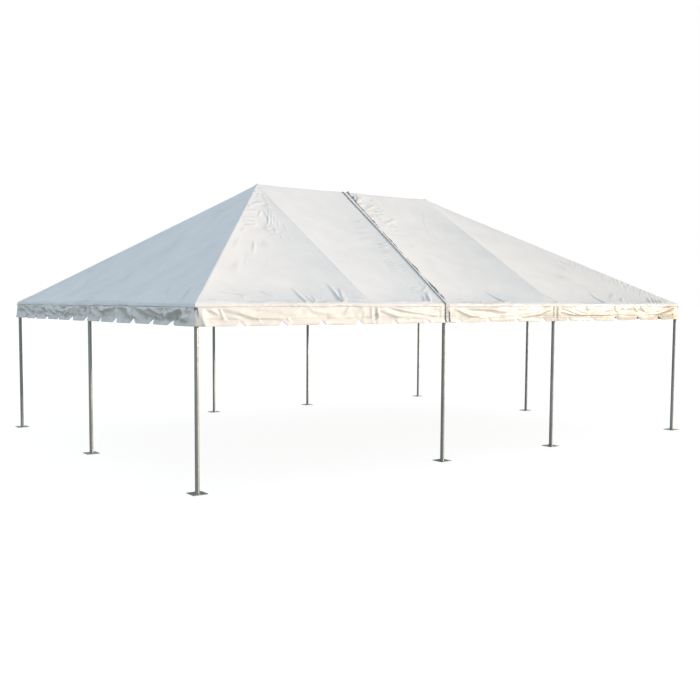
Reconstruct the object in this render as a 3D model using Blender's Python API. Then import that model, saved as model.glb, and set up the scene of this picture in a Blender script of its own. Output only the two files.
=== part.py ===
"""A white hip-roof frame tent: galvanised tubes in socket fittings under a vinyl cover.

Metres, +Z up. The origin is on the ground under the middle of the tent. X runs along the
long sides, and the front is at -Y. Every tube's axis passes through the middle of the
fittings that hold it. The cover lies on the fittings, as one panel for each slope left and
right of its seam, and each panel has its own strip of valance.
"""

import math

import bmesh
import bpy
from mathutils import Quaternion, Vector

# Driving sizes
HALF_LENGTH = 4.45
HALF_WIDTH = 3.15
EAVE_Z = 2.0755
RIDGE_Z = 3.876
HALF_RIDGE = 1.735

# Where the rafters land along the long sides. The middle and right ones stand on legs.
LEFT_RAFTER_X = -2.010
MIDDLE_LEG_X = -0.775
RIGHT_LEG_X = 1.411

# Tubes, and the sockets that take them
TUBE_RADIUS = 0.0254
TUBE_SIDES = 16
ROLL_PER_X = math.radians(3)
ROLL_PER_Y = math.radians(7)
SOCKET_RADIUS = 0.031
ARM_OVERLAP = 0.003
GAP = 0.0003
EAVE_SOCKET = 0.150
EAVE_TUBE_START = 0.065
TEE_SOCKET = 0.110
TEE_TUBE_START = 0.037
CROWN_SOCKET = 0.185
CROWN_TUBE_START = 0.100

# Feet: a square base plate with a weld bead round the leg
PLATE_SIDE = 0.178
PLATE_THICKNESS = 0.008
BEAD_TOP_Z = 0.014
BEAD_RADIUS = 0.0295

# Cover: its inner face lies this far outside the tubes' axes
INSIDE = SOCKET_RADIUS + GAP
COVER_THICKNESS = 0.006
VALANCE_BOTTOM_Z = 1.845
SIDE_TABS = 16
END_TABS = 12
NOTCH_WIDTH = 0.16
NOTCH_HEIGHT = 0.062
NOTCH_BELOW_HEM = 0.02
NOTCH_REACH = 0.05

FRONT = -1
BACK = 1
LEFT = -1
RIGHT = 1
UP = Vector((0, 0, 1))
DOWN = Vector((0, 0, -1))
SIDE_NAMES = {FRONT: "front", BACK: "back"}
END_NAMES = {LEFT: "left", RIGHT: "right"}


def clear_scene():
    for obj in list(bpy.data.objects):
        bpy.data.objects.remove(obj, do_unlink=True)


def new_collection(name):
    collection = bpy.data.collections.new(name)
    bpy.context.scene.collection.children.link(collection)
    return collection


def hex_colour(text):
    """A linear RGBA colour from an sRGB hex code."""
    values = [int(text[i : i + 2], 16) / 255 for i in (1, 3, 5)]
    linear = [v / 12.92 if v <= 0.04045 else ((v + 0.055) / 1.055) ** 2.4 for v in values]
    return (*linear, 1.0)


def principled(name, colour, roughness, metallic):
    material = bpy.data.materials.new(name)
    material.use_nodes = True
    shader = material.node_tree.nodes["Principled BSDF"]
    shader.inputs["Base Color"].default_value = hex_colour(colour)
    shader.inputs["Roughness"].default_value = roughness
    shader.inputs["Metallic"].default_value = metallic
    return material


def galvanised(name):
    return principled(name + "_steel", "#A9ACAA", 0.45, 0.9)


def cover_vinyl(name):
    return principled(name + "_vinyl", "#EFEDE9", 0.5, 0.0)


def new_object(name, shape, collection, material=None):
    """An object from a bmesh, which is freed."""
    mesh = bpy.data.meshes.new(name)
    shape.to_mesh(mesh)
    shape.free()
    obj = bpy.data.objects.new(name, mesh)
    collection.objects.link(obj)
    if material:
        mesh.materials.append(material)
    return obj


def hide_as_cutter(obj):
    obj.hide_render = True
    obj.display_type = "WIRE"


def turn_along(run):
    """The turn that lays +Z along a run, with the same facets for either direction of it.

    The roll keeps the facets of sockets that cross at right angles from lining up.
    """
    if tuple(round(value, 6) for value in (run.z, run.x, run.y)) < (0, 0, 0):
        run = -run
    across = run.normalized()
    roll = Quaternion(UP, ROLL_PER_X * across.x + ROLL_PER_Y * across.y)
    return run.to_track_quat("Z", "Y") @ roll


def add_cylinder(shape, start, end, radius):
    """A closed cylinder between two points."""
    run = end - start
    turned = turn_along(run).to_matrix().to_4x4()
    turned.translation = (start + end) / 2
    bmesh.ops.create_cone(
        shape,
        cap_ends=True,
        segments=TUBE_SIDES,
        radius1=radius,
        radius2=radius,
        depth=run.length,
        matrix=turned,
    )


def shade_round(obj):
    obj.data.shade_smooth()
    obj.data.set_sharp_from_angle(angle=math.radians(40))


def boolean(obj, operation, other, several_bodies=False):
    modifier = obj.modifiers.new(operation.title(), "BOOLEAN")
    modifier.operation = operation
    modifier.object = other
    modifier.solver = "EXACT"
    modifier.use_self = several_bodies


def tube(name, start, end, parts):
    """A straight tube, placed by its middle and turned along its run."""
    run = end - start
    shape = bmesh.new()
    add_cylinder(shape, DOWN * run.length / 2, UP * run.length / 2, TUBE_RADIUS)
    obj = new_object(name, shape, parts, galvanised(name))
    obj.location = (start + end) / 2
    obj.rotation_euler = turn_along(run).to_euler()
    shade_round(obj)
    return obj


def between(start, end, start_depth, end_depth):
    """The two ends of a tube that reaches the bottom of the bores at both its nodes."""
    along = (end - start).normalized()
    return start + along * (start_depth + GAP), end - along * (end_depth + GAP)


def fitting(name, place, arms, parts, cutters):
    """Sockets that meet in one point. Each arm is a direction, a length and where its bore starts.

    A bore that starts at None runs right through, as round a rail that isn't cut.
    """
    body = bmesh.new()
    bores = bmesh.new()
    for direction, length, bore_start in arms:
        along = direction.normalized()
        if bore_start is None:
            add_cylinder(body, -along * length, along * length, SOCKET_RADIUS)
            beyond = along * (length + 0.05)
            add_cylinder(bores, -beyond, beyond, TUBE_RADIUS + GAP)
        else:
            add_cylinder(body, -along * ARM_OVERLAP, along * length, SOCKET_RADIUS)
            add_cylinder(bores, along * bore_start, along * (length + 0.05), TUBE_RADIUS + GAP)
    obj = new_object(name, body, parts, galvanised(name))
    cutter = new_object(name + "_bores", bores, cutters)
    hide_as_cutter(cutter)
    cutter.parent = obj
    obj.location = place
    boolean(obj, "DIFFERENCE", cutter, several_bodies=True)
    shade_round(obj)
    return obj


def leg(name, x, y, bore_depth, parts, cutters):
    """A leg tube welded to its base plate."""
    shape = bmesh.new()
    top = EAVE_Z - bore_depth - GAP
    add_cylinder(shape, UP * PLATE_THICKNESS / 2, UP * top, TUBE_RADIUS)
    obj = new_object(name, shape, parts, galvanised(name))
    plate = bmesh.new()
    bmesh.ops.create_cube(plate, size=1)
    bmesh.ops.scale(plate, vec=(PLATE_SIDE, PLATE_SIDE, PLATE_THICKNESS), verts=plate.verts)
    bmesh.ops.translate(plate, vec=UP * PLATE_THICKNESS / 2, verts=plate.verts)
    add_cylinder(plate, UP * PLATE_THICKNESS / 4, UP * BEAD_TOP_Z, BEAD_RADIUS)
    foot = new_object(name + "_foot", plate, cutters)
    hide_as_cutter(foot)
    foot.parent = obj
    obj.location = (x, y, 0)
    boolean(obj, "UNION", foot, several_bodies=True)
    shade_round(obj)
    return obj


def eave_point(x, side):
    return Vector((x, side * HALF_WIDTH, EAVE_Z))


def ridge_point(x):
    return Vector((x, 0, RIDGE_Z))


def end_point(end):
    """The middle of an end's eave rail."""
    return Vector((end * HALF_LENGTH, 0, EAVE_Z))


RAFTER_FEET = {"left": LEFT_RAFTER_X, "middle": MIDDLE_LEG_X, "right": RIGHT_LEG_X}
RAFTER_HEADS = {"left": -HALF_RIDGE, "middle": 0.0, "right": HALF_RIDGE}
HEAD_GAPS = {"left": CROWN_TUBE_START, "middle": TEE_TUBE_START, "right": CROWN_TUBE_START}


def make_legs(parts, cutters):
    for side, side_name in SIDE_NAMES.items():
        y = side * HALF_WIDTH
        for end, end_name in END_NAMES.items():
            name = f"leg_{side_name}_{end_name}_corner"
            leg(name, end * HALF_LENGTH, y, EAVE_TUBE_START, parts, cutters)
        leg(f"leg_{side_name}_middle", MIDDLE_LEG_X, y, TEE_TUBE_START, parts, cutters)
        leg(f"leg_{side_name}_right", RIGHT_LEG_X, y, TEE_TUBE_START, parts, cutters)
    for end, end_name in END_NAMES.items():
        leg(f"leg_{end_name}_end", end * HALF_LENGTH, 0, TEE_TUBE_START, parts, cutters)


def make_rails(parts):
    """The four eave rails, each one long tube of swaged lengths, and the ridge tube."""
    for side, side_name in SIDE_NAMES.items():
        left, right = eave_point(-HALF_LENGTH, side), eave_point(HALF_LENGTH, side)
        ends = between(left, right, EAVE_TUBE_START, EAVE_TUBE_START)
        tube(f"eave_rail_{side_name}", *ends, parts)
    for end, end_name in END_NAMES.items():
        front, back = eave_point(end * HALF_LENGTH, FRONT), eave_point(end * HALF_LENGTH, BACK)
        ends = between(front, back, EAVE_TUBE_START, EAVE_TUBE_START)
        tube(f"eave_rail_{end_name}", *ends, parts)
    ends = between(
        ridge_point(-HALF_RIDGE), ridge_point(HALF_RIDGE), CROWN_TUBE_START, CROWN_TUBE_START
    )
    tube("ridge_tube", *ends, parts)


def make_rafters(parts):
    for side, side_name in SIDE_NAMES.items():
        for place, foot_x in RAFTER_FEET.items():
            foot, head = eave_point(foot_x, side), ridge_point(RAFTER_HEADS[place])
            ends = between(foot, head, TEE_TUBE_START, HEAD_GAPS[place])
            tube(f"rafter_{side_name}_{place}", *ends, parts)
        for end, end_name in END_NAMES.items():
            corner, crown = eave_point(end * HALF_LENGTH, side), ridge_point(end * HALF_RIDGE)
            ends = between(corner, crown, EAVE_TUBE_START, CROWN_TUBE_START)
            tube(f"hip_rafter_{side_name}_{end_name}", *ends, parts)
    for end, end_name in END_NAMES.items():
        ends = between(
            end_point(end), ridge_point(end * HALF_RIDGE), TEE_TUBE_START, CROWN_TUBE_START
        )
        tube(f"end_rafter_{end_name}", *ends, parts)


def make_corner_fittings(parts, cutters):
    for side, side_name in SIDE_NAMES.items():
        for end, end_name in END_NAMES.items():
            corner = eave_point(end * HALF_LENGTH, side)
            hip = ridge_point(end * HALF_RIDGE) - corner
            along_side, along_end = Vector((-end, 0, 0)), Vector((0, -side, 0))
            arms = [(d, EAVE_SOCKET, EAVE_TUBE_START) for d in (DOWN, along_side, along_end, hip)]
            fitting(f"corner_fitting_{side_name}_{end_name}", corner, arms, parts, cutters)


def make_rail_fittings(parts, cutters):
    """Sleeves on the uncut rails: tees over the legs, and clamps where a rafter has no leg."""
    for side, side_name in SIDE_NAMES.items():
        for place, foot_x in RAFTER_FEET.items():
            foot = eave_point(foot_x, side)
            rafter = ridge_point(RAFTER_HEADS[place]) - foot
            arms = [(Vector((1, 0, 0)), TEE_SOCKET, None), (rafter, TEE_SOCKET, TEE_TUBE_START)]
            name = f"rafter_clamp_{side_name}"
            if place != "left":
                arms.append((DOWN, TEE_SOCKET, TEE_TUBE_START))
                name = f"tee_fitting_{side_name}_{place}"
            fitting(name, foot, arms, parts, cutters)
    for end, end_name in END_NAMES.items():
        foot = end_point(end)
        rafter = ridge_point(end * HALF_RIDGE) - foot
        arms = [(Vector((0, 1, 0)), TEE_SOCKET, None)]
        arms += [(d, TEE_SOCKET, TEE_TUBE_START) for d in (rafter, DOWN)]
        fitting(f"tee_fitting_{end_name}_end", foot, arms, parts, cutters)


def make_crowns(parts, cutters):
    for end, end_name in END_NAMES.items():
        crown = ridge_point(end * HALF_RIDGE)
        directions = [Vector((-end, 0, 0)), end_point(end) - crown]
        for side in SIDE_NAMES:
            directions.append(eave_point(end * HALF_LENGTH, side) - crown)
            directions.append(eave_point(RAFTER_FEET[end_name], side) - crown)
        arms = [(d, CROWN_SOCKET, CROWN_TUBE_START) for d in directions]
        fitting(f"crown_{end_name}", crown, arms, parts, cutters)
    middle = ridge_point(0)
    arms = [(Vector((1, 0, 0)), TEE_SOCKET, None)]
    for side in SIDE_NAMES:
        arms.append((eave_point(MIDDLE_LEG_X, side) - middle, TEE_SOCKET, TEE_TUBE_START))
    fitting("ridge_tee", middle, arms, parts, cutters)


def keep_below(shape, point, outward):
    """Cuts a convex closed shape at a plane and closes it again."""
    everything = shape.verts[:] + shape.edges[:] + shape.faces[:]
    cut = bmesh.ops.bisect_plane(
        shape, geom=everything, plane_co=point, plane_no=outward, clear_outer=True
    )
    edges = [e for e in cut["geom_cut"] if isinstance(e, bmesh.types.BMEdge)]
    if edges:
        bmesh.ops.contextual_create(shape, geom=edges)
    bmesh.ops.recalc_face_normals(shape, faces=shape.faces[:])


def slab(name, planes, parts):
    """A convex piece of the cover: what lies behind every plane, each a point and its outward way."""
    shape = bmesh.new()
    bmesh.ops.create_cube(shape, size=4 * (HALF_LENGTH + RIDGE_Z))
    for point, outward in planes:
        keep_below(shape, point, outward)
    return new_object(name, shape, parts, cover_vinyl(name))


def side_slope(side):
    return Vector((0, side * (RIDGE_Z - EAVE_Z), HALF_WIDTH)).normalized()


def end_slope(end):
    return Vector((end * (RIDGE_Z - EAVE_Z), 0, HALF_LENGTH - HALF_RIDGE)).normalized()


def skin(point, outward):
    """The two faces of a sheet of cover that lies on the fittings along this plane."""
    return [
        (point + outward * (INSIDE + COVER_THICKNESS), outward),
        (point + outward * INSIDE, -outward),
    ]


def behind(point, outward):
    """A plane where two pieces of cover meet, set back by half the gap between them."""
    outward = outward.normalized()
    return point - outward * GAP / 2, outward


def fold_point():
    """A point at the height where the roof's inner face turns down into the valance."""
    tilts = [math.acos(slope.z) for slope in (side_slope(FRONT), end_slope(LEFT))]
    rise = min(INSIDE * (1 / math.cos(tilt) - math.tan(tilt)) for tilt in tilts)
    return UP * (EAVE_Z + rise)


def seam_plane(side, end):
    """The slanting seam from the ridge's middle to the middle leg, seen from its left or right."""
    return behind(Vector((0, 0, 0)), -end * Vector((HALF_WIDTH, -side * MIDDLE_LEG_X, 0)))


def make_roof(parts):
    for side, side_name in SIDE_NAMES.items():
        slope, way_out = side_slope(side), Vector((0, side, 0))
        eave = eave_point(0, side)
        for end, end_name in END_NAMES.items():
            corner = eave_point(end * HALF_LENGTH, side)
            planes = skin(ridge_point(0), slope)
            planes.append(behind(ridge_point(0), -way_out))
            planes.append(behind(corner, end_slope(end) - slope))
            planes.append(seam_plane(side, end))
            planes.append((eave + way_out * (INSIDE + COVER_THICKNESS), way_out))
            planes.append(behind(fold_point(), DOWN))
            slab(f"roof_{side_name}_{end_name}", planes, parts)
    for end, end_name in END_NAMES.items():
        slope, way_out = end_slope(end), Vector((end, 0, 0))
        eave = end_point(end)
        planes = skin(ridge_point(end * HALF_RIDGE), slope)
        for side in SIDE_NAMES:
            corner = eave_point(end * HALF_LENGTH, side)
            planes.append(behind(corner, side_slope(side) - slope))
        planes.append((eave + way_out * (INSIDE + COVER_THICKNESS), way_out))
        planes.append(behind(fold_point(), DOWN))
        slab(f"roof_end_{end_name}", planes, parts)


def add_notch(shape, middle, along, across):
    """A triangular prism that stands on its wide side below the hem."""
    foot = middle - UP * NOTCH_BELOW_HEM
    spread = NOTCH_WIDTH / 2 * (NOTCH_HEIGHT + NOTCH_BELOW_HEM) / NOTCH_HEIGHT
    outline = (foot - along * spread, foot + along * spread, middle + UP * NOTCH_HEIGHT)
    corners = [shape.verts.new(corner - across * NOTCH_REACH) for corner in outline]
    face = shape.faces.new(corners)
    pushed = bmesh.ops.extrude_face_region(shape, geom=[face])
    moved = [v for v in pushed["geom"] if isinstance(v, bmesh.types.BMVert)]
    bmesh.ops.translate(shape, vec=across * 2 * NOTCH_REACH, verts=moved)
    bmesh.ops.recalc_face_normals(shape, faces=shape.faces[:])


def cut_tabs(strip, hem_middle, along, half_run, tabs, low, high, cutters):
    """Cuts the notches that part the valance's tabs, those between low and high along its run."""
    pitch = 2 * half_run / tabs
    across = along.cross(UP)
    shape = bmesh.new()
    for count in range(1, tabs):
        place = -half_run + count * pitch
        if low < place < high:
            add_notch(shape, hem_middle + along * place, along, across)
    cutter = new_object(strip.name + "_notches", shape, cutters)
    hide_as_cutter(cutter)
    boolean(strip, "DIFFERENCE", cutter)


def make_valances(parts, cutters):
    """Strips that hang from the roof's fold, one for each roof panel, cut into tabs below."""
    outer = INSIDE + COVER_THICKNESS
    hem = UP * (VALANCE_BOTTOM_Z - EAVE_Z)
    for side, side_name in SIDE_NAMES.items():
        way_out = Vector((0, side, 0))
        eave = eave_point(0, side)
        for end, end_name in END_NAMES.items():
            corner, run = eave_point(end * HALF_LENGTH, side), Vector((end, 0, 0))
            planes = skin(eave, way_out)
            planes.append(behind(fold_point(), UP))
            planes.append((eave + hem, DOWN))
            planes.append(behind(corner, run - way_out))
            planes.append(behind(eave_point(MIDDLE_LEG_X, side), -run))
            strip = slab(f"valance_{side_name}_{end_name}", planes, parts)
            low, high = sorted((MIDDLE_LEG_X, end * (HALF_LENGTH + outer)))
            hem_middle = eave + hem + way_out * outer
            half_run = HALF_LENGTH + outer
            run_east = Vector((1, 0, 0))
            cut_tabs(strip, hem_middle, run_east, half_run, SIDE_TABS, low, high, cutters)
    for end, end_name in END_NAMES.items():
        way_out = Vector((end, 0, 0))
        eave = end_point(end)
        planes = skin(eave, way_out)
        planes.append(behind(fold_point(), UP))
        planes.append((eave + hem, DOWN))
        for side in SIDE_NAMES:
            corner = eave_point(end * HALF_LENGTH, side)
            planes.append(behind(corner, Vector((0, side, 0)) - way_out))
        strip = slab(f"valance_end_{end_name}", planes, parts)
        half_run = HALF_WIDTH + outer
        hem_middle = eave + hem + way_out * outer
        run_north = Vector((0, 1, 0))
        cut_tabs(strip, hem_middle, run_north, half_run, END_TABS, -half_run, half_run, cutters)


def main():
    clear_scene()
    parts = new_collection("marquee_tent")
    cutters = new_collection("marquee_tent_cutters")
    make_legs(parts, cutters)
    make_rails(parts)
    make_rafters(parts)
    make_corner_fittings(parts, cutters)
    make_rail_fittings(parts, cutters)
    make_crowns(parts, cutters)
    make_roof(parts)
    make_valances(parts, cutters)


main()
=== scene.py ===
import math

import bmesh
import bpy
import numpy as np
from mathutils import Matrix, Vector


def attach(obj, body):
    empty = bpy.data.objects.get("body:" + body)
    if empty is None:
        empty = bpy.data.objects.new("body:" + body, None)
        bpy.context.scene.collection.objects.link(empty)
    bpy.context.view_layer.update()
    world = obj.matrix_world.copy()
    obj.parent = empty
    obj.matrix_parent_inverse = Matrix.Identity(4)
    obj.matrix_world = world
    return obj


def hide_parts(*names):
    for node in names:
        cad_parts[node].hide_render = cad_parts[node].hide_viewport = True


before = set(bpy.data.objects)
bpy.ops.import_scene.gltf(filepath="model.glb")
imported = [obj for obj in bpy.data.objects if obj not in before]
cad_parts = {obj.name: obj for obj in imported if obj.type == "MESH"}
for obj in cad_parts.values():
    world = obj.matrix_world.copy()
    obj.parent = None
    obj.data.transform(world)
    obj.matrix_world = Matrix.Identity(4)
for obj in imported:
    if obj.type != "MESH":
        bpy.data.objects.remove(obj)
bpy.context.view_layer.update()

# Frame sizes, as in the part: metres, with the origin on the ground under the middle
HALF_LENGTH = 4.45
HALF_WIDTH = 3.15
EAVE_Z = 2.0755
RIDGE_Z = 3.876
HALF_RIDGE = 1.735
LEFT_RAFTER_X = -2.010
MIDDLE_LEG_X = -0.775
RIGHT_LEG_X = 1.411
SOCKET_RADIUS = 0.031
RISE = RIDGE_Z - EAVE_Z
SLOPE_LENGTH = math.hypot(HALF_WIDTH, RISE)

# The cover's cloth, and how it lies: its outer face over the tubes' axes
CLOTH = 0.0015
COVER_OVER_TUBES = 0.0280
BEND_RISE = 0.5367  # its bend's height over the eave rail's axis, for each metre beyond the axis
FITTING_LIFT = 0.0055
EAVE_BEND = 0.020
SKIRT_DROP = 0.034
SEAM_GAP = 0.001
# The cloth comes down off a fitting between these distances from the rafter's foot and head
OFF_FOOT = (0.17, 0.36)
OFF_HEAD = (0.22, 0.42)
OFF_CROWN = 0.045
CROWN_PEAK = 2.2  # how high it stands over a crown, for each metre that it stands over a fitting
# Shares of the slope over which the eave and the ridge take up its sag, and the band beside a
# rafter where its wrinkles fade
HELD_BY_EAVE = 0.08
HELD_BY_RIDGE = 0.20
BESIDE_RAFTER = 0.05

# The valance and its tabs
VALANCE_CLOTH = 0.0012
VALANCE_OVER_RAIL = 0.0262
VALANCE_TOP_Z = 2.067
VALANCE_BOTTOM_Z = 1.845
SIDE_TABS = 16
END_TABS = 12
NOTCH_HALF_WIDTHS = {"front": 0.047, "back": 0.055, "left": 0.085, "right": 0.085}
NOTCH_HEIGHT = 0.062
COVER_EDGE = 0.0373
VALANCE_STEP = 0.0118
VALANCE_ROWS = 25
CORNER_HOLE_Z = 2.028
CORNER_HOLE_HALF_HEIGHT = 0.016
CORNER_HOLE_HALF_TURN = math.pi / 7
EYELET_Z = 2.035
# It comes down off a tee, and its folds return beside a corner, between these distances
OFF_TEE = (0.14, 0.30)
OFF_CORNER = (0.03, 0.15)
# The nearest that the valance comes to the axis: of the rail, of a leg and inward below the rail
OVER_RAIL = 0.0270
OVER_LEG = 0.0335
INWARD = -0.030

# The flap over the seam
FLAP_CLOTH = 0.0016
FLAP_WIDTH = 0.08
FLAP_BOTTOM_Z = 1.860
FLAP_ACROSS = np.array([0, 0.05, 0.11, 0.2, 0.32, 0.42, 0.5, 0.6, 0.7, 0.8, 0.88, 0.94, 1.0])

# Each side is seen from outside: a runs to the viewer's right, h up the slope or z up the valance
RIGHT_WAYS = {"front": (1, 0), "right": (0, 1), "back": (-1, 0), "left": (0, -1)}
OUT_WAYS = {"front": (0, -1), "right": (1, 0), "back": (0, 1), "left": (-1, 0)}
# The side at each side's left-hand corner
BEFORE = {"right": "front", "back": "right", "left": "back", "front": "left"}
LONG_SIDES = ("front", "back")

# Where each side's rafters stand on the eave and end on the ridge
RAFTERS = {
    "front": [
        (-HALF_LENGTH, -HALF_RIDGE),
        (LEFT_RAFTER_X, -HALF_RIDGE),
        (MIDDLE_LEG_X, 0.0),
        (RIGHT_LEG_X, HALF_RIDGE),
        (HALF_LENGTH, HALF_RIDGE),
    ],
    "right": [(-HALF_WIDTH, 0.0), (0.0, 0.0), (HALF_WIDTH, 0.0)],
}
RAFTERS["left"] = RAFTERS["right"]
RAFTERS["back"] = [(-foot, -head) for foot, head in reversed(RAFTERS["front"])]

# How deep the cover hangs between those rafters
SAGS = {
    "front": [0.070, 0.052, 0.090, 0.085],
    "right": [0.070, 0.070],
    "back": [0.085, 0.090, 0.052, 0.070],
    "left": [0.055, 0.045],
}

# Where the cover is finely creased: a line, the reach around it, the creases' slant in degrees
# and their strength
CREASED = {
    "front": [
        ((-2.46, 2.10), (-1.86, 3.34), 0.26, 12, 0.8),
        ((0.10, 2.02), (0.24, 3.36), 0.24, 16, 1.0),
        ((-1.00, 0.45), (-0.40, 2.50), 0.17, 10, 0.7),
        ((4.20, 0.20), (3.00, 2.05), 0.22, 48, 0.5),
        ((-4.15, 0.16), (-3.30, 0.32), 0.15, -22, 0.5),
        ((-2.90, 0.12), (-2.20, 0.30), 0.14, 75, 0.5),
        ((-4.30, 0.05), (4.30, 0.05), 0.06, 6, 0.6),
    ],
    "left": [
        ((0.00, 0.10), (0.00, 2.90), 0.26, 55, 0.9),
        ((-2.80, 0.20), (-1.20, 2.20), 0.24, 50, 0.6),
        ((-3.00, 0.05), (3.00, 0.05), 0.06, 6, 0.5),
    ],
}
CREASED["right"] = CREASED["left"]
CREASED["back"] = [
    ((-low[0], low[1]), (-high[0], high[1]), reach, -slant, strength)
    for low, high, reach, slant, strength in CREASED["front"]
]


def smooth(low, high, value):
    share = np.clip((value - low) / (high - low), 0, 1)
    return share * share * (3 - 2 * share)


def bell(gap, width):
    """A soft hump, 1 in its middle."""
    return np.exp(-((gap / width) ** 2))


def spots_at(a, up):
    """Two arrays of one shape, made of floats."""
    return np.broadcast_arrays(np.asarray(a, float), np.asarray(up, float))


def layered(*values):
    """Values for every spot of a grid, side by side in its last axis."""
    return np.stack(np.broadcast_arrays(*values), axis=-1)


def along_steps(steps):
    """How far along each of a row of spots is, from the steps between them."""
    return np.concatenate([[0], np.cumsum(steps)])


def cells(x, y):
    """The cell of a grid that each spot is in, and where it is in the cell."""
    x, y = spots_at(x, y)
    column, row = np.floor(x).astype(int), np.floor(y).astype(int)
    return column, row, x - column, y - row


def noise(seed, x, y=0.5):
    """A smooth random height from -1 to 1, the same on every run."""
    table = np.random.default_rng(seed).uniform(-1, 1, (128, 128))
    column, row, across, up = cells(x, y)
    across, up = smooth(0, 1, across), smooth(0, 1, up)
    column, row = column % 127, row % 127
    low = table[row, column] * (1 - across) + table[row, column + 1] * across
    high = table[row + 1, column] * (1 - across) + table[row + 1, column + 1] * across
    return low * (1 - up) + high * up


def crumple(seed, x, y):
    """Pointed peaks with flat facets between them, from 0 to 1."""
    table = np.random.default_rng(seed).uniform(0, 1, (4, 64, 64))
    column, row, x, y = cells(x, y)
    highest = np.zeros(x.shape)
    for step_x in (-1, 0, 1):
        for step_y in (-1, 0, 1):
            peak_x, peak_y, turn, top = table[:, (row + step_y) % 64, (column + step_x) % 64]
            off_x, off_y = x - step_x - peak_x, y - step_y - peak_y
            turn = math.pi * turn
            along = np.abs(off_x * np.cos(turn) + off_y * np.sin(turn))
            across = np.abs(off_y * np.cos(turn) - off_x * np.sin(turn))
            highest = np.maximum(highest, 0.6 + 0.4 * top - 0.40 * along - 0.85 * across)
    return highest


def beside_line(points, a, h):
    """How far each spot is from a line of points, positive on its left, and how far along it."""
    nearest = np.full(a.shape, np.inf)
    signed, along = np.zeros((2, *a.shape))
    points = np.array(points, float)
    spans = np.hypot(*np.diff(points, axis=0).T)
    starts = along_steps(spans)
    for place, (start, end) in enumerate(zip(points, points[1:])):
        run_a, run_h = end - start
        reach = (a - start[0]) * run_a + (h - start[1]) * run_h
        share = np.clip(reach / spans[place] ** 2, 0, 1)
        off_a, off_h = a - start[0] - share * run_a, h - start[1] - share * run_h
        gap = np.hypot(off_a, off_h)
        closer = gap < nearest
        turn = np.where(run_a * off_h - run_h * off_a >= 0, 1, -1)
        nearest = np.where(closer, gap, nearest)
        signed = np.where(closer, gap * turn, signed)
        along = np.where(closer, (starts[place] + share * spans[place]) / starts[-1], along)
    return signed, along


def folds(lines, a, h, held=False):
    """Folds that fade at both ends, or that start sharply where they are held and fade from there.

    Each has its height, its widths left and right, and a line.
    """
    total = np.zeros(a.shape)
    for height, left, right, points in lines:
        gap, along = beside_line(points, a, h)
        width = np.where(gap >= 0, left, right)
        fade = np.sin(np.pi * along) ** 0.5
        if held:
            width, fade = width * (0.7 + 0.8 * along), (1 - along) ** 0.8
        total += height * fade * bell(gap, width)
    return total


def in_metres(rows, up_scale):
    """Fold lines from rows of whole numbers.

    A row holds the fold's height and its widths left and right in mm, and then its line's points,
    each as a pair: a in cm, and the place up the side in cm or mm.
    """
    lines = []
    for row in rows:
        height, left, right = (size / 1000 for size in row[:3])
        points = [(a / 100, up / up_scale) for a, up in zip(row[3::2], row[4::2])]
        lines.append((height, left, right, points))
    return lines


def on_slope(*rows):
    """Lines on a slope: the place up it is in cm."""
    return in_metres(rows, 100)


def on_valance(*rows):
    """Lines on a valance: the height over the ground is in mm."""
    return in_metres(rows, 1000)


# Wrinkles that run up the front slope from where the eave holds it
FRONT_PULLS = on_slope(
    (19, 17, 25, -299, 3, -295, 20, -290, 50), (14, 15, 15, -288, 3, -284, 26),
    (14, 14, 14, -286, 3, -276, 21), (24, 19, 25, -246, 3, -237, 36, -233, 58),
    (22, 17, 22, -244, 3, -222, 46), (16, 15, 15, -242, 3, -230, 22),
    (27, 24, 25, -102, 5, -82, 36), (16, 15, 15, -110, 5, -95, 28),
    (22, 15, 22, 38, 3, 44, 24, 48, 52), (12, 14, 14, 42, 3, 60, 16),
    (22, 19, 22, 261, 3, 270, 28, 284, 56), (11, 14, 14, 264, 3, 290, 10),
    (26, 19, 19, 376, 2, 390, 18, 402, 28), (28, 17, 17, 387, 2, 407, 25),
    (26, 15, 15, 396, 2, 412, 22), (26, 14, 14, 406, 2, 418, 18), (14, 12, 17, 152, 2, 144, 30),
)

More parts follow.
